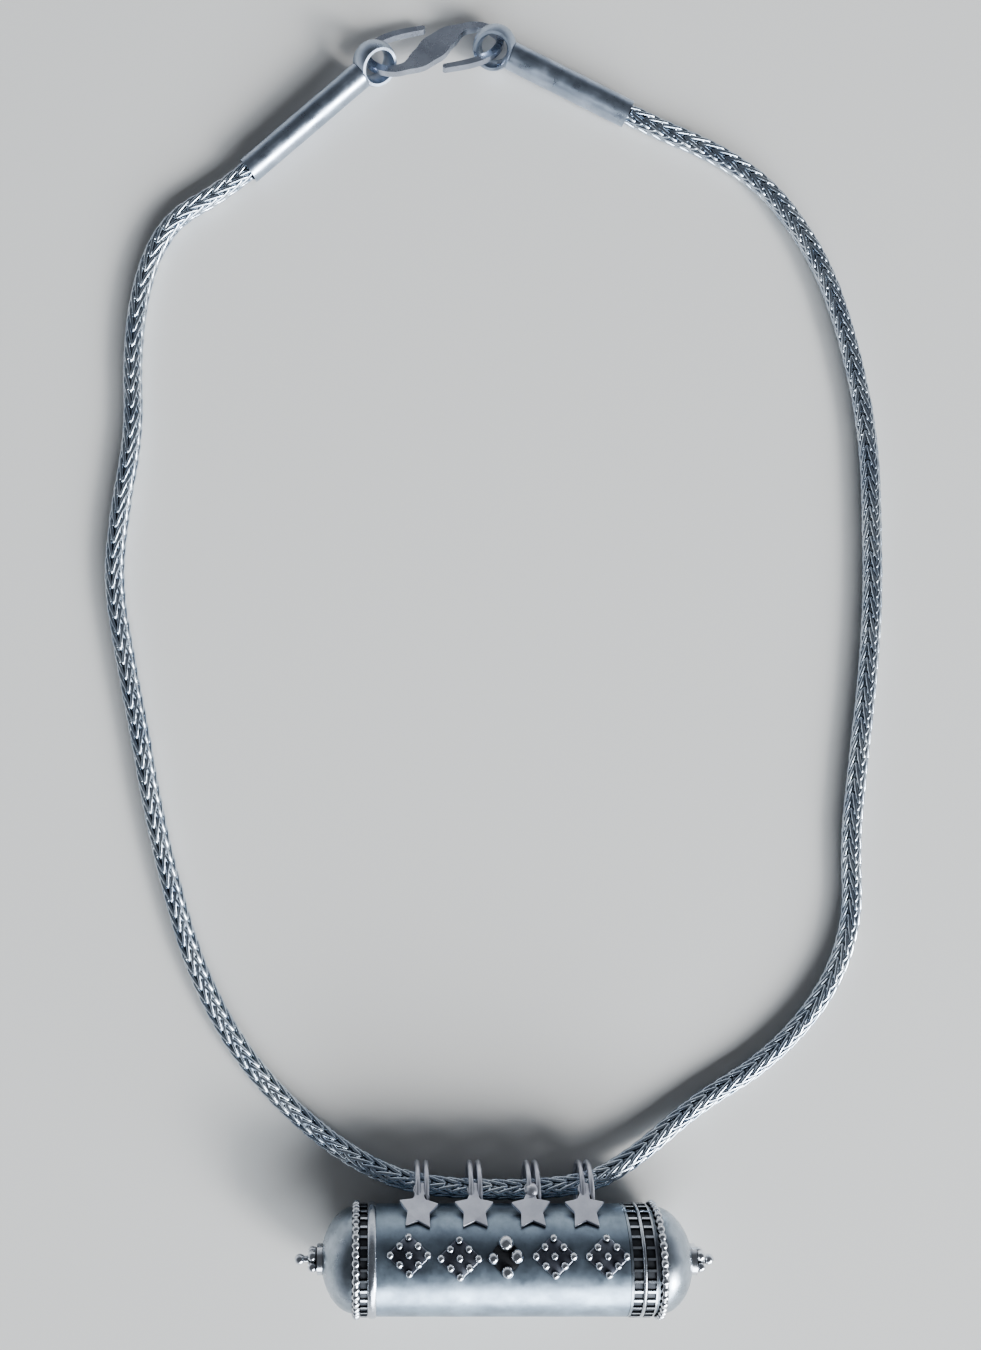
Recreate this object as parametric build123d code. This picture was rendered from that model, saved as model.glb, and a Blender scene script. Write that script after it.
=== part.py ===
"""Silver amulet case for a parchment scroll, lying on its side with its neck chain laid out in a loop.

The case axis runs along X. A removable domed cap closes the +X end. Four round bails on the +Y side
carry a woven chain whose two end caps are joined by an S hook. Millimetres, +Z up, resting on Z = 0.
"""
from build123d import *
from math import asin, cos, degrees, pi, radians, sin, sqrt, tan
import os

os.makedirs("parts", exist_ok=True)

# ---- case ----
TUBE_R = 7.37
TUBE_IN_R = 6.75
RING_R = 7.85  # reach of the beaded wires, on which the case lies
STEP_R = 7.12  # floor of the two banded ends
SPIGOT_IN_R = 6.3
SLEEVE_GAP = 0.1  # cap sleeve over spigot
BAND_R = 7.45  # top of rungs and smooth wires
TUBE_END = 16.6
JOINT_GAP = 0.06
DOME_R = 7.05
SHEET = 0.5
BEAD_R = 0.575
BEAD_CORE_R = 0.38
BEAD_COUNT = 40
RUNG_COUNT = 32
RUNG_WIDE = 0.34
RUNG_STRIP = 0.08  # thickness of the strip that carries the rungs
TIP = 29.5  # finial tips, either side of the middle
LONG = 40.0  # longer than any piece of the case, for cutting
PAST = 1.0  # how far a cutter reaches past what it cuts
LAP = 0.1  # how far two lengths of one piece reach into each other
FIXED_WIRE_PROUD = 0.3
RIDGE_PROUD = 0.12  # ridge wire above the rungs
STRIP_BELOW = 0.05  # edge strip below the rungs

# fixed end: dome foot, dome apex, then the bands towards the middle
FIXED_FOOT = -20.8
FIXED_APEX = -25.76
FIXED_CELLS = (-20.2, -19.26)
FIXED_WIRE = (-19.23, -18.02)
# cap end
CAP_FOOT = 21.2
CAP_APEX = 26.3
CAP_RUNGS_A = (17.0, 18.2)
CAP_RIDGE = (18.22, 18.86)
CAP_RUNGS_B = (18.88, 20.0)
CAP_STRIP = (20.02, 20.24)
SPIGOT = (10.0, 20.9)

# ---- finials ----
GRAIN_R = 0.75
FINIAL_BASE = (2.1, 0.85)  # radius, height
FINIAL_POST_R = 0.45
FINIAL_SINK = 0.3  # how far the base reaches back past the dome's apex
GRAIN_SEAT = 0.8  # centre of the four granules above the base, as a part of their radius

# ---- bails and stars ----
BAIL_X = (-11.5, -4.0, 4.2, 11.7)
BAIL_OUT_R = 4.4  # each round bail reaches down to the ground
BAIL_WIRE_R = 0.36
BAIL_PAIR = 0.63  # half the spacing of a bail's two wires
BAIL_REACH = 8.9  # case axis to bail centre
STAR_X = (-12.1, -4.35, 3.6, 11.05)
STAR_TURN = (-5.0, 0.0, 1.5, 0.0)
STAR_R = 2.9
STAR_INNER = 0.55  # notch radius over point radius
STAR_TALL = 1.15
STAR_AT = 3.0  # star centre, along the plate from where it meets the tube
STAR_THICK = 0.55
STAR_FACE = 37.5  # degrees above horizontal
STAR_BITE = 0.05  # how far the back of a star is filed to the tube
HEAD_R = 1.05
HEAD_AT = 6.0
STEM_HALF = 0.68  # half width of the stem between star and head
HEAD_LEAN = 0.6  # how far a head leans from its star towards its bail, as a part of the way
BOSS_STAR = 2  # the star with a blob of solder on its head
BOSS_R = 1.1
BOSS_RISE = 0.2

# ---- applied ornament ----
PLATE_X = (-13.6, -6.7, 6.2, 13.4)
PLATE_ANGLE = (64.0, 67.0, 65.0, 65.0)  # degrees above horizontal
PLATE_HALF = (3.1, 2.9)  # half diagonals, along the case and round it
PLATE_THICK = 0.45
PLATE_GRAIN_R = 0.52
PLATE_GRAIN_RISE = 0.55  # centre above the plate, as a part of the radius
PLATE_GRAIN_STEP = (1.27, 1.07)
FLOWER_X = -0.35
FLOWER_ANGLE = 66.0
FLOWER_BASE_R = 1.9
FLOWER_BASE_THICK = 0.2
FLOWER_RISE = 0.35  # a granule's centre above the tube, as a part of its radius
FLOWER_GRAINS = ((0.1, 1.75, 0.85), (-1.75, 0.1, 0.78), (1.45, -0.15, 0.92), (0.05, -1.75, 1.05))

# ---- scroll ----
SCROLL_X = (-20.2, 19.6)
SCROLL_CORE_R = 0.8
SCROLL_PITCH = 0.5
SCROLL_SHEET = 0.3
SCROLL_TURNS = 4
SCROLL_CLEAR = 0.15  # roll above the spigot that it lies in
SCROLL_BLOCK = 10.0  # more than the roll's radius, for cutting it in half

# ---- chain, end caps, eyes, hook ----
CHAIN_R = 1.5
CHAIN_LOW = 1.52
BEND_SHARE = 0.45  # part of the shorter run beside a bend that its arc takes up
BAIL_PASS = (8.25, 3.5)  # chain through the bails: distance from the case axis in Y, height
CAP_TUBE_R = 1.93
CAP_GRIP = 4.0  # length of chain inside an end cap
CAP_EDGE = 0.3  # rounding of an end cap's far edge
CAP_SADDLE = 0.7  # how far an end cap is notched over its eye
MOUTH_Z = 1.95
EYE_R = 3.15  # barrel-shaped eyes: reach at the middle and at the two faces
EYE_FACE_R = 2.75
EYE_HOLE_R = 1.9  # the hole flares from here to its faces
EYE_MOUTH_R = 2.35
EYE_LONG = 3.2
NECK_R = 0.9
NECK_IN = 1.0  # how far the neck starts inside the end cap
HOOK_THICK = 0.95
HOOK_TURN = 6.9  # degrees, long axis in plan
HOOK_TILT = 22.0  # degrees, far edge down

# ---- derived ----
bail_drop = RING_R - BAIL_OUT_R
BAIL_ANGLE = -degrees(asin(bail_drop / BAIL_REACH))
bail_out = BAIL_REACH * cos(radians(BAIL_ANGLE))
AXIS_Y = -round((bail_out + BAIL_OUT_R - RING_R) / 2, 2)  # centres case and bails on Y = 0
AXIS_Z = RING_R


def at(x, y, z=0.0):
    """A place given from the case axis in Y and from the ground in Z."""
    return Vector(x, y + AXIS_Y, z)


def rod(x0, x1, radius):
    """Cylinder on the case axis."""
    return Pos((x0 + x1) / 2, AXIS_Y, AXIS_Z) * Rot(0, 90, 0) * Cylinder(radius, x1 - x0)


def pipe(x0, x1, outer, inner):
    return rod(x0, x1, outer) - rod(x0 - PAST, x1 + PAST, inner)


def facing(x, angle, reach):
    """Plane facing straight out of the case: X along the case, Y round it towards the ground."""
    out = Vector(0, cos(radians(angle)), sin(radians(angle)))
    return Plane(origin=at(x, 0, AXIS_Z) + out * reach, x_dir=(1, 0, 0), z_dir=out)


# ---- case shell ----
def case_tube():
    body = pipe(FIXED_FOOT, TUBE_END, TUBE_R, TUBE_IN_R)
    return body - pipe(FIXED_FOOT - PAST, FIXED_WIRE[0], TUBE_R + PAST, STEP_R)


def dome_shell(foot, apex):
    """Half ellipsoid shell, its foot an annulus square to the case axis."""
    rise = apex - foot
    outer = Sphere(DOME_R)
    inner = Sphere(DOME_R - SHEET)
    shell = outer - inner
    half = shell & Pos(0, 0, DOME_R) * Box(3 * DOME_R, 3 * DOME_R, 2 * DOME_R)
    shape = scale(half, (1, 1, abs(rise) / DOME_R))
    return Pos(foot, AXIS_Y, AXIS_Z) * Rot(0, 90 if rise > 0 else -90, 0) * shape


def cap_shell():
    sleeve = pipe(TUBE_END + JOINT_GAP, CAP_FOOT, STEP_R, TUBE_IN_R + SLEEVE_GAP)
    lip = pipe(TUBE_END + JOINT_GAP, CAP_RUNGS_A[0], TUBE_R, STEP_R - LAP)
    return sleeve + lip + dome_shell(CAP_FOOT, CAP_APEX)


def beaded_wire(x):
    """Ring of beads on a round core, seated on the stepped end."""
    ring_r = RING_R - BEAD_R
    core = Torus(ring_r, BEAD_CORE_R)
    beads = [loc * Sphere(BEAD_R) for loc in PolarLocations(ring_r, BEAD_COUNT)]
    ring = Pos(x, AXIS_Y, AXIS_Z) * Rot(0, 90, 0) * (core + beads)
    return ring - rod(x - PAST, x + PAST, STEP_R)


def rung_band(x0, x1):
    """Thin strip with square rungs round it."""
    strip = Circle(STEP_R + RUNG_STRIP)
    bars = [loc * Rectangle(2 * BEAD_R, RUNG_WIDE) for loc in PolarLocations(BAND_R, RUNG_COUNT)]
    rungs = (Sketch() + bars) & Circle(BAND_R)
    profile = strip + rungs - Circle(STEP_R)
    return Pos(x0, AXIS_Y, AXIS_Z) * Rot(0, 90, 0) * extrude(profile, x1 - x0)


def smooth_wire(x0, x1, foot_r, proud):
    """Ring of half-round section standing proud of foot_r."""
    half = (x1 - x0) / 2
    section = Ellipse(half, proud) & Pos(0, proud) * Rectangle(4 * half, 2 * proud)
    ring = revolve(Plane.XY * Pos((x0 + x1) / 2, foot_r) * section, Axis.X, 360)
    return Pos(0, AXIS_Y, AXIS_Z) * ring


def finial(foot, apex):
    """Disc, four granules in a square and one on top, on a short post."""
    side = 1 if apex > 0 else -1
    radius, height = FINIAL_BASE
    start = abs(apex) - FINIAL_SINK
    ring_at = start + height + GRAIN_SEAT * GRAIN_R
    tip_at = TIP - GRAIN_R
    shape = Pos(0, 0, start + height / 2) * Cylinder(radius, height)
    shape += Pos(0, 0, (start + tip_at) / 2) * Cylinder(FINIAL_POST_R, tip_at - start)
    for loc in PolarLocations(GRAIN_R * sqrt(2), 4, 45):
        shape += Pos(0, 0, ring_at) * loc * Sphere(GRAIN_R)
    shape += Pos(0, 0, tip_at) * Sphere(GRAIN_R)
    placed = Pos(0, AXIS_Y, AXIS_Z) * Rot(0, side * 90, 0) * shape
    rise = apex - foot
    body = scale(Sphere(DOME_R), (1, 1, abs(rise) / DOME_R))
    return placed - Pos(foot, AXIS_Y, AXIS_Z) * Rot(0, side * 90, 0) * body


# ---- bails and stars ----
def star(index):
    plane = facing(STAR_X[index], STAR_FACE, TUBE_R - STAR_BITE)
    points = []
    for k in range(10):
        reach = STAR_R if k % 2 == 0 else STAR_R * STAR_INNER
        angle = radians(90 + 36 * k + STAR_TURN[index])
        points.append((reach * cos(angle), STAR_AT + STAR_TALL * reach * sin(angle)))
    head_x = HEAD_LEAN * (BAIL_X[index] - STAR_X[index])
    outline = make_face(Polyline(*points, close=True))
    outline += Pos(head_x, HEAD_AT) * Circle(HEAD_R)
    outline += Pos(head_x / 2, (STAR_AT + HEAD_AT) / 2) * Rectangle(2 * STEM_HALF, HEAD_AT - STAR_AT)
    plate = extrude(plane * outline, STAR_THICK)
    if index == BOSS_STAR:
        plate += plane * Pos(head_x, HEAD_AT, BOSS_RISE) * Sphere(BOSS_R)
    return plate - rod(-LONG, LONG, TUBE_R) - behind(plane)


def behind(plane):
    """Everything behind a star's back face."""
    return plane * Pos(0, 0, -LONG / 2) * Box(LONG, LONG, LONG)


def bail(index):
    """Two round wires side by side, open where they are soldered to the tube and the back of a star."""
    wires = []
    for side in (-1, 1):
        spot = at(BAIL_X[index] + side * BAIL_PAIR, bail_out, AXIS_Z - bail_drop)
        wires.append(Location(spot) * Rot(0, 90, 0) * Torus(BAIL_OUT_R - BAIL_WIRE_R, BAIL_WIRE_R))
    trimmed = [wire - rod(-LONG, LONG, TUBE_R) - star(index) for wire in wires]
    return Compound(children=[wire.solids().sort_by(SortBy.VOLUME)[-1] for wire in trimmed])


# ---- applied ornament ----
def diamond_plate(index):
    angle = PLATE_ANGLE[index]
    half_x, half_round = PLATE_HALF
    half_y = TUBE_R * sin(half_round / TUBE_R)
    rhombus = make_face(Polyline((half_x, 0), (0, half_y), (-half_x, 0), (0, -half_y), close=True))
    block = extrude(facing(PLATE_X[index], angle, RING_R) * rhombus, -TUBE_R)
    return block & pipe(-LONG, TUBE_END, TUBE_R + PLATE_THICK, TUBE_R)


def diamond_granules(index):
    top = TUBE_R + PLATE_THICK
    seat = rod(-LONG, LONG, top)
    step_x, step_round = PLATE_GRAIN_STEP
    grains = []
    for i in (-1, 0, 1):
        for j in (-1, 0, 1):
            turn = degrees((i + j) * step_round / TUBE_R)
            spot = facing(PLATE_X[index] + (i - j) * step_x, PLATE_ANGLE[index] + turn, top)
            grains.append(spot * Pos(0, 0, PLATE_GRAIN_RISE * PLATE_GRAIN_R) * Sphere(PLATE_GRAIN_R) - seat)
    return Compound(children=[s for grain in grains for s in grain.solids()])


def flower():
    """Four granules of growing size round a hollow, on a thin disc."""
    shell = pipe(-LONG, LONG, TUBE_R + FLOWER_BASE_THICK, TUBE_R)
    disc = extrude(facing(FLOWER_X, FLOWER_ANGLE, RING_R) * Circle(FLOWER_BASE_R), -TUBE_R) & shell
    seat = rod(-LONG, LONG, TUBE_R)
    for dx, turn, radius in FLOWER_GRAINS:
        spot = facing(FLOWER_X + dx, FLOWER_ANGLE + degrees(turn / TUBE_R), TUBE_R + FLOWER_RISE * radius)
        disc += spot * Sphere(radius) - seat
    return disc


# ---- scroll ----
def scroll():
    """Parchment rolled up, as half turns of growing radius about two centres."""
    strip = Sketch()
    for k in range(2 * SCROLL_TURNS):
        mid = SCROLL_CORE_R + k * SCROLL_PITCH / 2
        ring = Circle(mid + SCROLL_SHEET / 2) - Circle(mid - SCROLL_SHEET / 2)
        upper = k % 2 == 0
        half_at = SCROLL_BLOCK / 2 if upper else -SCROLL_BLOCK / 2
        half = ring & Pos(0, half_at) * Rectangle(2 * SCROLL_BLOCK, SCROLL_BLOCK)
        strip += Pos(0 if upper else SCROLL_PITCH / 2, 0) * half
    outer = SCROLL_CORE_R + SCROLL_TURNS * SCROLL_PITCH + SCROLL_SHEET / 2
    height = AXIS_Z - SPIGOT_IN_R + outer + SCROLL_CLEAR
    roll = extrude(strip, SCROLL_X[1] - SCROLL_X[0])
    return Pos(SCROLL_X[0], AXIS_Y, height) * Rot(0, 90, 0) * roll


# ---- clasp end of the chain ----
HOOK_AT = at(-9.65, 172.7, 2.75)
MOUTH = {"left": at(-36.5, 155.4, MOUTH_Z), "right": at(18.53, 163.62, MOUTH_Z)}
EYE = {"left": at(-18.2, 170.5, 3.17), "right": at(-0.92, 172.8, 3.07)}
EYE_LEAN = {"left": 52.0, "right": 43.0}  # degrees the eye's hole leans from upright
FIRST_BEND = {"left": 4.4, "right": 5.0}  # mouth to the chain's first bend


def cap_dir(side):
    return (EYE[side] - MOUTH[side]).normalized()


def eye_plane(side):
    """Plane of an eye: Z along its hole, X towards the end cap."""
    along = cap_dir(side)
    sign = 1 if side == "left" else -1
    across = Vector(sign * along.Y, -sign * along.X, 0).normalized()
    lean = radians(EYE_LEAN[side])
    axis = Vector(0, 0, 1) * cos(lean) + across * sin(lean)
    axis = (axis - along * axis.dot(along)).normalized()
    return Plane(origin=EYE[side], x_dir=along * -1, z_dir=axis)


def barrel(face_r, middle_r, half):
    """Solid of revolution about Z whose side curves out or in to middle_r."""
    outline = Polyline((face_r, -half), (0, -half), (0, half), (face_r, half))
    side = ThreePointArc((face_r, half), (middle_r, 0), (face_r, -half))
    return revolve(Plane.XZ * make_face([*outline.edges(), side]), Axis.Z, 360)


def eye_blank():
    return barrel(EYE_FACE_R, EYE_R, EYE_LONG / 2)


def end_eye(side):
    """Barrel with a flared hole."""
    return eye_plane(side) * (eye_blank() - barrel(EYE_MOUTH_R, EYE_HOLE_R, EYE_LONG / 2))


def end_cap(side):
    """Tube over the chain's end, rounded where it meets the eye."""
    frame = Plane(origin=MOUTH[side], x_dir=(0, 0, 1), z_dir=cap_dir(side))
    reach = (EYE[side] - MOUTH[side]).length
    long = reach - EYE_R + CAP_SADDLE
    body = Pos(0, 0, long / 2) * Cylinder(CAP_TUBE_R, long)
    body = fillet(body.edges().sort_by(Axis.Z)[-1], CAP_EDGE)
    neck_end = reach - (EYE_R + EYE_HOLE_R) / 2
    neck_start = long - NECK_IN
    neck = Pos(0, 0, (neck_start + neck_end) / 2) * Cylinder(NECK_R, neck_end - neck_start)
    bore = Pos(0, 0, CAP_GRIP / 2) * Cylinder(CHAIN_R, CAP_GRIP)
    shape = body + neck - bore
    return frame * shape - eye_plane(side) * eye_blank()


HOOK_HALF = ((-1.2, 3.83), (-4.4, 3.56), (-7.3, 2.75), (-9.2, 1.19), (-9.7, -0.43), (-8.7, -2.16),
             (-6.8, -3.13), (-4.6, -3.02), (-2.2, -1.83))
HOOK_WIDTH = ((0.0, 0.85), (0.1, 1.0), (0.3, 1.05), (0.37, 1.4), (0.44, 3.3), (0.5, 4.2))


def hook_width(u):
    """Width of the flat-hammered wire at a fraction of its length, the same from either end."""
    u = min(u, 1 - u)
    for (u0, w0), (u1, w1) in zip(HOOK_WIDTH, HOOK_WIDTH[1:]):
        if u <= u1:
            t = (u - u0) / (u1 - u0)
            t = t * t * (3 - 2 * t)
            return w0 + (w1 - w0) * t
    return HOOK_WIDTH[-1][1]


def hook_plane():
    turn, tilt = radians(HOOK_TURN), radians(HOOK_TILT)
    long = Vector(cos(turn), sin(turn), 0)
    wide = Vector(-sin(turn) * cos(tilt), cos(turn) * cos(tilt), -sin(tilt))
    return Plane(origin=HOOK_AT, x_dir=long, z_dir=long.cross(wide))


def s_hook():
    path = list(HOOK_HALF) + [(0, 0)] + [(-a, -b) for a, b in reversed(HOOK_HALF)]
    line = Spline(*path)
    left, right = [], []
    steps = 48
    for k in range(steps + 1):
        u = k / steps
        spot, along = line @ u, line % u
        off = Vector(-along.Y, along.X) * (hook_width(u) / 2)
        left.append(spot + off)
        right.append(spot - off)
    ends = []
    for u, tip in ((1, 1), (0, -1)):
        ends.append(line @ u + (line % u) * (tip * hook_width(0) / 2))
    outline = [Spline(*left), ThreePointArc(left[-1], ends[0], right[-1]), Spline(*reversed(right)),
               ThreePointArc(right[0], ends[1], left[0])]
    slab = extrude(make_face(outline), HOOK_THICK / 2, both=True)
    return hook_plane() * slab


# ---- chain ----
# Bends between the left end cap and the right one, from the case axis in Y.
ROUTE = (
    (-47.9, 148.5, CHAIN_LOW), (-52.0, 140.1, CHAIN_LOW), (-53.5, 128.9, CHAIN_LOW), (-53.1, 117.6, CHAIN_LOW),
    (-55.2, 106.4, CHAIN_LOW), (-56.3, 96.0, CHAIN_LOW), (-54.5, 84.9, CHAIN_LOW), (-52.3, 73.6, CHAIN_LOW),
    (-50.4, 62.6, CHAIN_LOW), (-47.7, 51.2, CHAIN_LOW), (-44.3, 39.8, CHAIN_LOW), (-38.7, 28.7, CHAIN_LOW),
    (-30.7, 19.2, CHAIN_LOW), (-20.6, 11.7, 2.4), (-10.6, BAIL_PASS[0], BAIL_PASS[1]),
    (11.0, BAIL_PASS[0], BAIL_PASS[1]), (19.3, 12.2, 2.4), (28.1, 19.7, CHAIN_LOW), (39.2, 26.4, CHAIN_LOW),
    (47.6, 36.0, CHAIN_LOW), (51.4, 46.6, CHAIN_LOW), (50.9, 57.9, CHAIN_LOW), (52.0, 69.1, CHAIN_LOW),
    (53.4, 80.9, CHAIN_LOW), (54.2, 92.6, CHAIN_LOW), (54.1, 104.8, CHAIN_LOW), (53.6, 117.1, CHAIN_LOW),
    (51.1, 129.4, CHAIN_LOW), (47.0, 141.9, CHAIN_LOW), (39.7, 152.6, CHAIN_LOW), (31.4, 158.2, CHAIN_LOW),
)


def route_points():
    ends = {}
    for side in ("left", "right"):
        inside = MOUTH[side] + cap_dir(side) * CAP_GRIP
        outside = MOUTH[side] - cap_dir(side) * FIRST_BEND[side]
        ends[side] = [inside, outside]
    middle = [at(*bend) for bend in ROUTE]
    return ends["left"] + middle + ends["right"][::-1]


def bend_radii(points):
    radii = []
    for a, b, c in zip(points, points[1:], points[2:]):
        u, v = b - a, c - b
        turn = radians(u.get_angle(v))
        radii.append(BEND_SHARE * min(u.length, v.length) / tan(turn / 2))
    return radii


def chain():
    points = route_points()
    radii = bend_radii(points)
    line = FilletPolyline(*points, radius=radii)
    start = Plane(origin=points[0], z_dir=points[1] - points[0])
    tube = sweep(start * Circle(CHAIN_R), path=line)
    print("chain radii", [round(r, 1) for r in radii])
    print("chain length", round(line.length, 1), "volume", round(tube.volume, 1),
          "expected", round(pi * CHAIN_R**2 * line.length, 1), "lowest", round(tube.bounding_box().min.Z, 3))
    return tube


pieces = {
    "case_tube": case_tube(),
    "case_spigot": pipe(*SPIGOT, TUBE_IN_R, SPIGOT_IN_R),
    "fixed_end_dome": dome_shell(FIXED_FOOT, FIXED_APEX),
    "fixed_end_beaded_wire": beaded_wire(FIXED_FOOT),
    "fixed_end_cell_band": rung_band(*FIXED_CELLS),
    "fixed_end_smooth_wire": smooth_wire(*FIXED_WIRE, TUBE_R, FIXED_WIRE_PROUD),
    "fixed_end_finial": finial(FIXED_FOOT, FIXED_APEX),
    "cap_shell": cap_shell(),
    "cap_rung_band_inner": rung_band(*CAP_RUNGS_A),
    "cap_ridge_wire": smooth_wire(*CAP_RIDGE, STEP_R, BAND_R + RIDGE_PROUD - STEP_R),
    "cap_rung_band_outer": rung_band(*CAP_RUNGS_B),
    "cap_edge_strip": pipe(*CAP_STRIP, BAND_R - STRIP_BELOW, STEP_R),
    "cap_beaded_wire": beaded_wire(CAP_FOOT),
    "cap_finial": finial(CAP_FOOT, CAP_APEX),
    "flower_granules": flower(),
    "parchment_scroll": scroll(),
    "end_cap_left": end_cap("left"),
    "end_cap_right": end_cap("right"),
    "end_eye_left": end_eye("left"),
    "end_eye_right": end_eye("right"),
    "s_hook_clasp": s_hook(),
    "neck_chain": chain(),
}
for number in range(4):
    pieces[f"bail_{number + 1}"] = bail(number)
    pieces[f"star_{number + 1}"] = star(number)
    pieces[f"diamond_plate_{number + 1}"] = diamond_plate(number)
    pieces[f"diamond_granules_{number + 1}"] = diamond_granules(number)

for name, shape in pieces.items():
    export_step(shape, f"parts/{name}.step")
    box = shape.bounding_box()
    print(f"{name:24s} solids {len(shape.solids()):2d}  vol {shape.volume:9.2f}  "
          f"x {box.min.X:8.2f} {box.max.X:8.2f}  y {box.min.Y:8.2f} {box.max.Y:8.2f}  "
          f"z {box.min.Z:6.2f} {box.max.Z:6.2f}")
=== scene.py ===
import math
import random

import bpy
import numpy as np
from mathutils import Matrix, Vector


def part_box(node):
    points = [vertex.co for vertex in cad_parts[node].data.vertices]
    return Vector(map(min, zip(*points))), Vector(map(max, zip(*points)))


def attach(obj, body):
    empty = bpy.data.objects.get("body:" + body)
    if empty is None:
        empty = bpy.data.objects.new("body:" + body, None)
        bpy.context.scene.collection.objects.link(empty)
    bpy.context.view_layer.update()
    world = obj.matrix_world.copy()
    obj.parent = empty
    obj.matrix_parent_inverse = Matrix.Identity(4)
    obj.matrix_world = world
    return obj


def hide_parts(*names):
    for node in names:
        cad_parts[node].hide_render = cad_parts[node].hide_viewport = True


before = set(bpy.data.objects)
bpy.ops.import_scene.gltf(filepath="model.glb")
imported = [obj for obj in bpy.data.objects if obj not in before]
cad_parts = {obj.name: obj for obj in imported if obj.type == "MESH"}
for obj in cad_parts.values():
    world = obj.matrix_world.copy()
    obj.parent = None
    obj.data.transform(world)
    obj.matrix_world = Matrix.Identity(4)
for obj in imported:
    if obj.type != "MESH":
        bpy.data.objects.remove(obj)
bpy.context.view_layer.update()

MM = 0.001
tube_lo, tube_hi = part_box("case_tube")
AXIS_Y = (tube_lo.y + tube_hi.y) / 2  # the case's axis
AXIS_Z = (tube_lo.z + tube_hi.z) / 2


def at(x, y, z):
    """A place in mm, Y from the case's axis, as a point in the frame."""
    return Vector((x * MM, AXIS_Y + y * MM, z * MM))


# ---------------------------------------------------------------- camera
CAMERA_AT = at(-18.96, 82.27, 205.0)
LENS, SENSOR = 37.33, 36.0
SHIFT = 0.0897
NEAREST = 10.0  # mm


def make_camera():
    """Looks straight down from left of the loop's middle; the shift centres the loop in the frame."""
    data = bpy.data.cameras.new("camera")
    data.lens = LENS
    data.sensor_width = SENSOR
    data.shift_x = SHIFT
    data.clip_start = NEAREST * MM
    camera = bpy.data.objects.new("camera", data)
    camera.location = CAMERA_AT
    bpy.context.scene.collection.objects.link(camera)
    bpy.context.scene.camera = camera


make_camera()

# ---------------------------------------------------------------- chain route
MOUTH = {"left": at(-36.5, 155.4, 1.95), "right": at(18.53, 163.62, 1.95)}
EYE = {"left": at(-18.2, 170.5, 3.17), "right": at(-0.92, 172.8, 3.07)}
FIRST_BEND = {"left": 4.4, "right": 5.0}  # from an end cap's mouth
CAP_GRIP = 4.0  # length of chain inside an end cap
LOW = 1.52  # middle of the chain where it lies on the ground
PASS_Y, PASS_Z = 8.25, 3.5  # the chain through the bails
ROUTE_STEPS = 24  # points read from the chain's line for each bend
# Bends from the left end cap round to the right one, in mm, Y from the case's axis.
ROUTE = (
    (-47.9, 148.5, LOW), (-52.0, 140.1, LOW), (-53.5, 128.9, LOW), (-53.1, 117.6, LOW),
    (-55.2, 106.4, LOW), (-56.3, 96.0, LOW), (-54.5, 84.9, LOW), (-52.3, 73.6, LOW),
    (-50.4, 62.6, LOW), (-47.7, 51.2, LOW), (-44.3, 39.8, LOW), (-38.7, 28.7, LOW),
    (-30.7, 19.2, LOW), (-20.6, 11.7, 2.4), (-10.6, PASS_Y, PASS_Z),
    (11.0, PASS_Y, PASS_Z), (19.3, 12.2, 2.4), (28.1, 19.7, LOW), (39.2, 26.4, LOW),
    (47.6, 36.0, LOW), (51.4, 46.6, LOW), (50.9, 57.9, LOW), (52.0, 69.1, LOW),
    (53.4, 80.9, LOW), (54.2, 92.6, LOW), (54.1, 104.8, LOW), (53.6, 117.1, LOW),
    (51.1, 129.4, LOW), (47.0, 141.9, LOW), (39.7, 152.6, LOW), (31.4, 158.2, LOW),
)


def cap_dir(side):
    """Direction from an end cap's mouth to its eye."""
    return (EYE[side] - MOUTH[side]).normalized()


def route_points():
    ends = {}
    for side in ("left", "right"):
        inside = MOUTH[side] + cap_dir(side) * CAP_GRIP * MM
        outside = MOUTH[side] - cap_dir(side) * FIRST_BEND[side] * MM
        ends[side] = [inside, outside]
    return ends["left"] + [at(*bend) for bend in ROUTE] + ends["right"][::-1]


def spline_line(points):
    """Points along the smooth NURBS line whose control points these are."""
    data = bpy.data.curves.new("chain_route", "CURVE")
    data.dimensions = "3D"
    data.resolution_u = ROUTE_STEPS
    spline = data.splines.new("NURBS")
    spline.points.add(len(points) - 1)
    for control, place in zip(spline.points, points):
        control.co = (*place, 1.0)
    spline.order_u = 3
    spline.use_endpoint_u = True
    holder = bpy.data.objects.new("chain_route", data)
    mesh = bpy.data.meshes.new_from_object(holder)
    line = np.array([v.co[:] for v in mesh.vertices])
    bpy.data.objects.remove(holder)
    bpy.data.meshes.remove(mesh)
    bpy.data.curves.remove(data)
    return line


FEEL = 0.8  # how far ahead and behind a line's direction is taken, in mm


class Line:
    """A line by distance along it: place, direction, and sideways and upwards from it."""

    def __init__(self, points):
        steps = np.linalg.norm(np.diff(points, axis=0), axis=1)
        self.points = points
        self.far = np.concatenate(([0.0], np.cumsum(steps)))
        self.length = float(self.far[-1])

    def place(self, s):
        return np.array([np.interp(s, self.far, self.points[:, k]) for k in range(3)]).T

    def frame(self, s):
        ahead = self.place(np.minimum(s + FEEL * MM, self.length))
        behind = self.place(np.maximum(s - FEEL * MM, 0))
        along = ahead - behind
        along /= np.linalg.norm(along, axis=1, keepdims=True)
        side = np.cross(along, (0.0, 0.0, 1.0))
        side /= np.linalg.norm(side, axis=1, keepdims=True)
        return along, side, np.cross(side, along)


route = Line(spline_line(route_points()))

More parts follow.
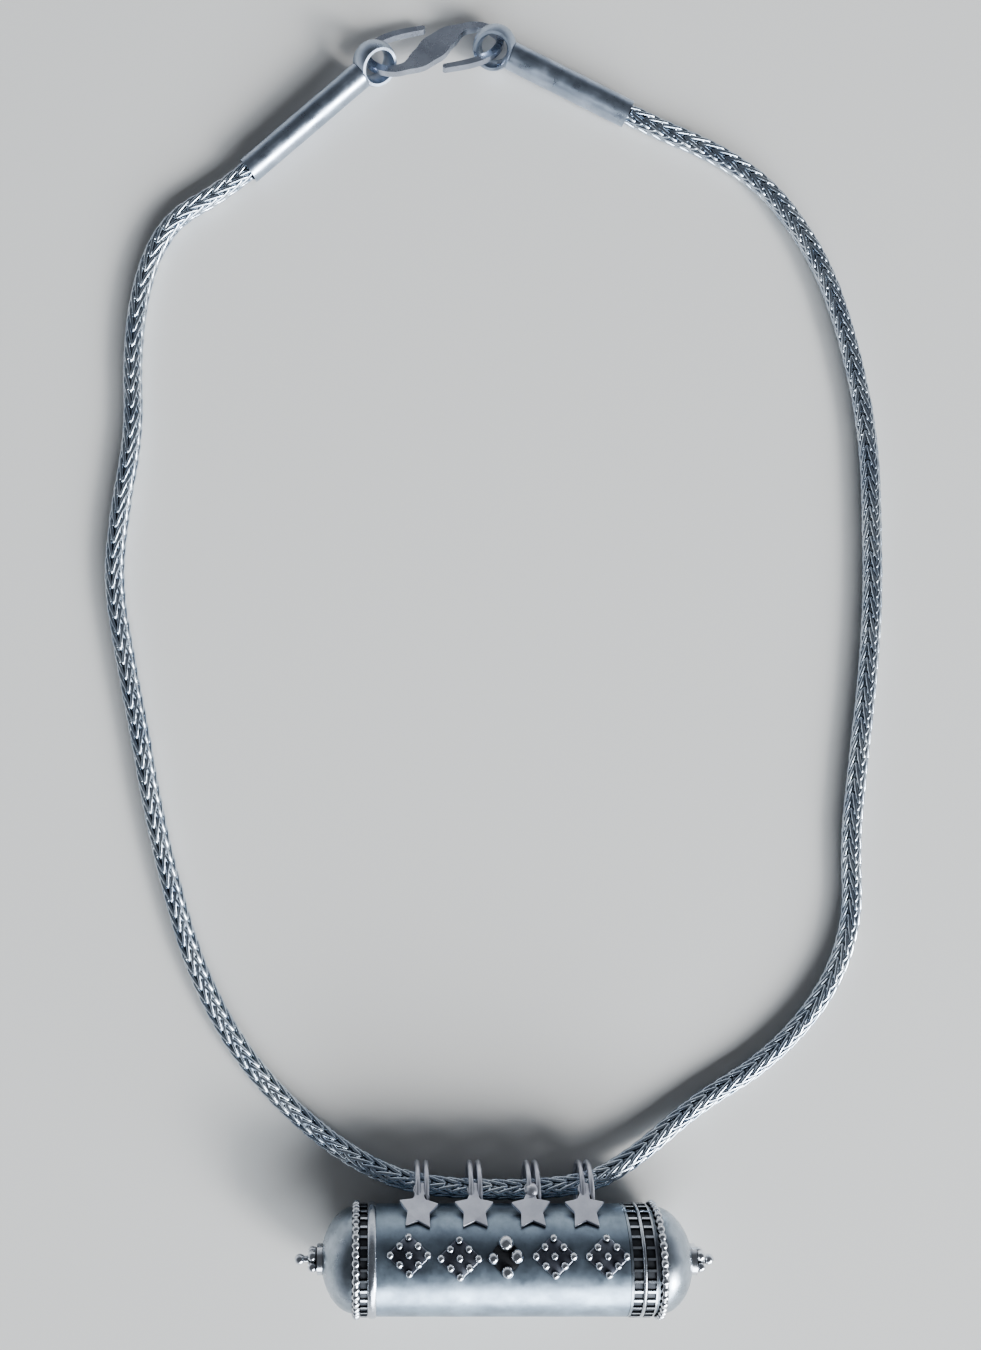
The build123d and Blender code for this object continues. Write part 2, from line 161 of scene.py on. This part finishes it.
# ---------------------------------------------------------------- woven chain
WIRE_R = 0.29
WIRE_SIDES = 8
PITCH = 2.2
FIRST_TIP = 1.5  # where the first V of a face stands, in pitches; faces side by side are half a pitch apart
# One leg of a V on a face of the chain: back from the tip, across, out from the middle, in mm.
LEG = ((0.3, 0.0, 0.88), (0.0, 0.13, 0.98), (-1.0, 0.38, 1.05), (-2.0, 0.64, 1.03),
       (-2.8, 0.85, 0.9), (-3.3, 0.93, 0.66), (-3.6, 0.88, 0.38))
CORE_R = 0.9
CORE_STEP = 1.2
# How uneven the links are, in mm: along the chain, across a face and into the chain.
JITTER_ALONG, JITTER_ACROSS, JITTER_IN = 0.08, 0.03, 0.04
# How far the chain is rolled, in degrees, at fractions of its length.
ROLL = ((0.0, 0.0), (0.10, 4.0), (0.15, 12.0), (0.28, 20.0), (0.38, 38.0), (0.46, 45.0), (0.52, 45.0),
        (0.60, 52.0), (0.82, 58.0), (0.90, 80.0), (1.0, 92.0))


def ring_tube(path, radius, sides, across):
    """Vertices and faces of a closed tube along a path of points; across isn't along the path's start."""
    along = np.gradient(path, axis=0)
    along /= np.linalg.norm(along, axis=1, keepdims=True)
    normal = np.cross(along[0], across)
    turns = np.linspace(0, 2 * math.pi, sides, endpoint=False)
    verts, faces = [], []
    for spot, ahead in zip(path, along):
        normal = normal - ahead * np.dot(normal, ahead)
        normal /= np.linalg.norm(normal)
        other = np.cross(ahead, normal)
        verts.append(spot + radius * (np.outer(np.cos(turns), normal) + np.outer(np.sin(turns), other)))
    last = (len(path) - 1) * sides
    for row in range(0, last, sides):
        for j in range(sides):
            a, b = row + j, row + (j + 1) % sides
            faces.append((a, b, b + sides, a + sides))
    faces.append(tuple(range(sides))[::-1])
    faces.append(tuple(last + j for j in range(sides)))
    return np.concatenate(verts), faces


def link(name, data):
    made = bpy.data.objects.new(name, data)
    bpy.context.scene.collection.objects.link(made)
    return made


def joined_mesh(name, parts, material):
    """One smooth piece from a list of (vertices, faces)."""
    verts, faces, count = [], [], 0
    for some_verts, some_faces in parts:
        verts.extend(some_verts.tolist())
        faces.extend(tuple(i + count for i in face) for face in some_faces)
        count += len(some_verts)
    mesh = bpy.data.meshes.new(name)
    mesh.from_pydata(verts, [], faces)
    mesh.polygons.foreach_set("use_smooth", [True] * len(mesh.polygons))
    mesh.materials.append(material)
    return link(name, mesh)


def woven_chain(material):
    """Square loop-in-loop chain: a column of V-shaped wires on each of four faces, round a core."""
    rng = random.Random(11)
    fractions, degrees = zip(*ROLL)
    shape = np.array([(s, -u, w) for s, u, w in LEG[:0:-1]] + list(LEG)) * MM
    parts = []
    for face in range(4):
        tip = (FIRST_TIP + face % 2 / 2) * PITCH * MM
        while tip < route.length:
            tip += PITCH * MM
            s = tip + shape[:, 0] + rng.uniform(-JITTER_ALONG, JITTER_ALONG) * MM
            if s.max() > route.length:
                break
            along, side, up = route.frame(s)
            roll = np.radians(np.interp(s / route.length, fractions, degrees) + 90 * face)[:, None]
            out = up * np.cos(roll) + side * np.sin(roll)
            across = side * np.cos(roll) - up * np.sin(roll)
            u = shape[:, 1:2] + rng.uniform(-JITTER_ACROSS, JITTER_ACROSS) * MM
            w = shape[:, 2:3] + rng.uniform(-JITTER_IN, 0.0) * MM
            path = route.place(s) + across * u + out * w
            parts.append(ring_tube(path, WIRE_R * MM, WIRE_SIDES, out[0]))
    s = np.arange(0, route.length, CORE_STEP * MM)
    parts.append(ring_tube(route.place(s), CORE_R * MM, WIRE_SIDES, (0.0, 0.0, 1.0)))
    return joined_mesh("woven_chain", parts, material)


# ---------------------------------------------------------------- materials
class Nodes:
    """A node material, built up a node at a time."""

    def __init__(self, name):
        self.material = bpy.data.materials.new(name)
        self.material.use_nodes = True
        self.tree = self.material.node_tree
        self.shader = self.tree.nodes["Principled BSDF"]
        self.place = self.tree.nodes.new("ShaderNodeTexCoord").outputs["Object"]

    def put(self, socket, value):
        if isinstance(value, bpy.types.NodeSocket):
            self.tree.links.new(value, socket)
        else:
            socket.default_value = value

    def node(self, kind, inputs, **settings):
        """A new node; inputs are values or sockets by input name or number. Returns its outputs."""
        made = self.tree.nodes.new(kind)
        for key, value in settings.items():
            setattr(made, key, value)
        for key, value in inputs.items():
            self.put(made.inputs[key], value)
        return made.outputs

    def noise(self, scale, detail=3.0, rough=0.55, stretch=(1, 1, 1)):
        place = self.node("ShaderNodeMapping", {"Vector": self.place, "Scale": stretch})[0]
        inputs = {"Vector": place, "Scale": scale, "Detail": detail, "Roughness": rough}
        return self.node("ShaderNodeTexNoise", inputs)["Fac"]

    def span(self, value, low, high, out_low=0.0, out_high=1.0):
        return self.node("ShaderNodeMapRange", {0: value, 1: low, 2: high, 3: out_low, 4: out_high})[0]

    def mix(self, factor, a, b):
        return self.node("ShaderNodeMix", {0: factor, 6: a, 7: b}, data_type="RGBA")[2]

    def math(self, operation, a, b):
        return self.node("ShaderNodeMath", {0: a, 1: b}, operation=operation)[0]

    def bump(self, height, distance, under=None):
        inputs = {"Height": height, "Strength": 1.0, "Distance": distance}
        if under:
            inputs["Normal"] = under
        return self.node("ShaderNodeBump", inputs)[0]

    def reach(self):
        """Distance from the case's axis."""
        axis = (0, AXIS_Y, AXIS_Z)
        away = self.node("ShaderNodeVectorMath", {0: self.place, 1: axis}, operation="SUBTRACT")[0]
        flat = self.node("ShaderNodeVectorMath", {0: away, 1: (0, 1, 1)}, operation="MULTIPLY")[0]
        return self.node("ShaderNodeVectorMath", {0: flat}, operation="LENGTH")["Value"]


# Near-black oxide, also painted in as shade in the hollows and in the gaps between parts and chain wires.
OXIDE_AND_SHADE = (0.012, 0.012, 0.016, 1)
# How fine each pattern is, as a noise scale: features to the metre.
TARNISH, SPECKS, RUBBING, DENTS, SCRATCHES = 260, 1500, 420, 230, 2600
SCRATCH_DEPTH = 0.002  # mm
OXIDE_ROUGH = 0.6
OXIDE_AND_SHADE_FADE = 0.5  # how much more open a place is where the oxide and painted shade have gone than where they are whole
LOW_CLEAR = 0.12  # how clear of oxide and painted shade, from 0 to 1, a pattern is at its foot


def silver(name, bright, tarnish, rough, crevice, dents=0.01, grain=(1, 1, 1), low=None, dark_below=0.3):
    """Worn silver: tarnish in clouds, black oxide with painted shade in the hollows, fine scratches and
    soft dents.

    crevice is how far, in mm, the oxide and painted shade feel for a neighbouring surface, and dark_below
    how closed in a place must be to keep them whole; dents is their depth in mm; grain stretches the
    scratches; low is a span of distances from the case's axis, in mm, over which the oxide and painted
    shade at a part's foot fade.
    """
    n = Nodes(name)
    # Oxide and painted shade fill the hollows: the closer a neighbouring surface, the darker.
    shelter = n.node("ShaderNodeAmbientOcclusion", {"Distance": crevice * MM}, samples=8)["AO"]
    clear = n.span(shelter, dark_below, dark_below + OXIDE_AND_SHADE_FADE)
    # Oxide and painted shade are kept at a part's foot, where it meets the case.
    if low:
        raised = n.span(n.reach(), low[0] * MM, low[1] * MM, LOW_CLEAR, 1.0)
        clear = n.math("MULTIPLY", clear, raised)
    colour = n.mix(n.span(n.noise(TARNISH, 5, 0.6), 0.38, 0.66), tarnish, bright)
    specks = n.span(n.noise(SPECKS, 2, 0.5), 0.6, 0.72, 0.0, 0.4)
    colour = n.mix(specks, colour, tarnish)
    n.put(n.shader.inputs["Base Color"], n.mix(clear, OXIDE_AND_SHADE, colour))
    n.put(n.shader.inputs["Metallic"], 1.0)
    rubbed = n.span(n.noise(RUBBING, 4, 0.6), 0.3, 0.7, rough - 0.06, rough + 0.1)
    dull = n.span(clear, 0, 1, OXIDE_ROUGH, 0.1)
    n.put(n.shader.inputs["Roughness"], n.math("MAXIMUM", rubbed, dull))
    dented = n.bump(n.noise(DENTS, 2, 0.5), dents * MM)
    scratched = n.bump(n.noise(SCRATCHES, 2, 0.6, grain), SCRATCH_DEPTH * MM, under=dented)
    n.put(n.shader.inputs["Normal"], scratched)
    return n.material


def parchment():
    n = Nodes("parchment")
    colour = n.mix(n.span(n.noise(300, 5, 0.6), 0.35, 0.7), (0.60, 0.46, 0.26, 1), (0.80, 0.70, 0.50, 1))
    n.put(n.shader.inputs["Base Color"], colour)
    n.put(n.shader.inputs["Roughness"], n.span(n.noise(900), 0.3, 0.7, 0.65, 0.85))
    n.put(n.shader.inputs["Normal"], n.bump(n.noise(1400, 4, 0.6), 0.012 * MM))
    return n.material


PALE = dict(bright=(0.95, 0.97, 1.00, 1), tarnish=(0.68, 0.71, 0.76, 1), rough=0.18)
FINISHES = {
    "case": dict(bright=(0.44, 0.53, 0.62, 1), tarnish=(0.30, 0.36, 0.43, 1), rough=0.34, crevice=1.2,
                 dents=0.03, grain=(0.2, 1, 1)),
    "dome": dict(bright=(0.54, 0.60, 0.67, 1), tarnish=(0.36, 0.41, 0.46, 1), rough=0.28, crevice=1.2,
                 dents=0.03),
    "band": dict(bright=(0.86, 0.90, 0.95, 1), tarnish=(0.56, 0.60, 0.66, 1), rough=0.22, crevice=0.6,
                 low=(7.24, 7.42)),
    "bead": dict(bright=(0.95, 0.97, 1.00, 1), tarnish=(0.70, 0.73, 0.78, 1), rough=0.18, crevice=0.6,
                 low=(7.25, 7.55)),
    "plate": dict(bright=(0.45, 0.48, 0.55, 1), tarnish=(0.20, 0.21, 0.26, 1), rough=0.3, crevice=1.1),
    "grain": dict(**PALE, crevice=0.5),
    "flower": dict(**PALE, crevice=0.6, low=(7.6, 8.0)),
    "star": dict(bright=(0.90, 0.91, 0.97, 1), tarnish=(0.72, 0.73, 0.80, 1), rough=0.40, crevice=0.4),
    "chain": dict(bright=(0.86, 0.93, 1.00, 1), tarnish=(0.54, 0.62, 0.73, 1), rough=0.2, crevice=0.45,
                  dents=0.0, dark_below=0.12),
    "cap": dict(bright=(0.60, 0.67, 0.78, 1), tarnish=(0.42, 0.48, 0.57, 1), rough=0.3, crevice=0.8),
    "hook": dict(bright=(0.56, 0.60, 0.68, 1), tarnish=(0.42, 0.45, 0.52, 1), rough=0.26, crevice=0.8,
                 dents=0.005),
}
materials = {look: silver(f"{look}_silver", **finish) for look, finish in FINISHES.items()}
materials["parchment"] = parchment()
# The first start of a node's name that fits gives its material.
LOOKS = (
    ("fixed_end_beaded", "bead"), ("cap_beaded", "bead"), ("fixed_end_dome", "dome"), ("cap_shell", "dome"),
    ("fixed_end_finial", "grain"), ("cap_finial", "grain"), ("fixed_end", "band"), ("cap_", "band"),
    ("case", "case"), ("diamond_plate", "plate"), ("diamond_granules", "grain"), ("flower", "flower"),
    ("bail", "star"), ("star", "star"), ("end_", "cap"), ("s_hook", "hook"), ("neck_chain", "chain"),
    ("parchment", "parchment"),
)
# Pieces with sheared edges, by how their names start, and how far in wear has rounded them, in mm.
WORN = ("star", "diamond_plate")
WORN_BY = 0.12
WORN_STEPS = 3
SHARP = 40.0  # degrees; an edge as sharp as this wears
WELD_GAP = 0.001  # vertices as close as this, in mm, are one
# How uneven hand-set beads and granules are, and the size of the unevenness, in mm.
UNEVEN = ("beaded", "granules", "finial")
UNEVEN_BY = 0.09
UNEVEN_SIZE = 0.9


def soften(node):
    """Wears the sharp edges round."""
    weld = node.modifiers.new("weld", "WELD")
    weld.merge_threshold = WELD_GAP * MM
    edges = node.modifiers.new("edges", "BEVEL")
    edges.width = WORN_BY * MM
    edges.segments = WORN_STEPS
    edges.angle_limit = math.radians(SHARP)
    edges.use_clamp_overlap = False
    edges.harden_normals = True


def unsettle(node, texture):
    """Makes each bead a little different."""
    uneven = node.modifiers.new("uneven", "DISPLACE")
    uneven.texture = texture
    uneven.strength = UNEVEN_BY * MM


clouds = bpy.data.textures.new("clouds", "CLOUDS")
clouds.noise_scale = UNEVEN_SIZE * MM
for name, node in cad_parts.items():
    look = next(look for start, look in LOOKS if name.startswith(start))
    node.data.materials.clear()
    node.data.materials.append(materials[look])
    if name.startswith(WORN):
        soften(node)
    if any(word in name for word in UNEVEN):
        unsettle(node, clouds)

# ---------------------------------------------------------------- the chain, declared
chain = woven_chain(materials["chain"])
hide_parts("neck_chain")
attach(chain, "chain")


# ---------------------------------------------------------------- stage and light
FLOOR_HALF = 8.0  # metres
FLOOR_DROP = 0.03  # below the ground, in mm, so that nothing dips into it
PAPER = (0.74, 0.73, 0.71, 1)
LIT = Vector((0.0, 0.07, 0.0))  # what the lights are aimed at, near the middle of the loop


def make_floor():
    half = FLOOR_HALF
    corners = [(-half, -half, 0), (half, -half, 0), (half, half, 0), (-half, half, 0)]
    mesh = bpy.data.meshes.new("floor")
    mesh.from_pydata(corners, [], [(0, 1, 2, 3)])
    n = Nodes("floor_paper")
    n.put(n.shader.inputs["Base Color"], PAPER)
    n.put(n.shader.inputs["Roughness"], 0.9)
    mesh.materials.append(n.material)
    floor = link("floor", mesh)
    floor.location.z = -FLOOR_DROP * MM


def softbox(name, place, size, power, colour):
    """Area light; place and size in metres, power in watts."""
    data = bpy.data.lights.new(name, "AREA")
    data.shape = "RECTANGLE"
    data.size, data.size_y = size
    data.energy = power
    data.color = colour
    light = link(name, data)
    light.location = place
    aim = LIT - Vector(place)
    light.rotation_euler = aim.to_track_quat("-Z", "Y").to_euler()


SKY = (0.84, 0.88, 0.95, 1)
HORIZON, OVERHEAD = 0.62, 0.12  # strength of the sky
FADE = (0.05, 0.55)  # heights on the sky's dome, from 0 to 1, between which it dims


def make_world():
    """Dim overhead and brighter towards the horizon."""
    world = bpy.data.worlds.new("studio")
    bpy.context.scene.world = world
    world.use_nodes = True
    nodes, links = world.node_tree.nodes, world.node_tree.links
    place = nodes.new("ShaderNodeTexCoord")
    parts = nodes.new("ShaderNodeSeparateXYZ")
    fall = nodes.new("ShaderNodeMapRange")
    fall.inputs["From Min"].default_value, fall.inputs["From Max"].default_value = FADE
    fall.inputs["To Min"].default_value = HORIZON
    fall.inputs["To Max"].default_value = OVERHEAD
    links.new(place.outputs["Generated"], parts.inputs[0])
    links.new(parts.outputs["Z"], fall.inputs["Value"])
    links.new(fall.outputs[0], nodes["Background"].inputs["Strength"])
    nodes["Background"].inputs["Color"].default_value = SKY


make_floor()
make_world()
softbox("window", (1.08, -1.70, 1.20), (3.0, 1.65), 108.0, (0.88, 0.94, 1.0))
softbox("key", (1.86, -1.40, 1.38), (0.66, 0.66), 45.0, (1.0, 0.98, 0.95))
bpy.context.scene.view_settings.view_transform = "AgX"
bpy.context.scene.view_settings.look = "AgX - Medium High Contrast"
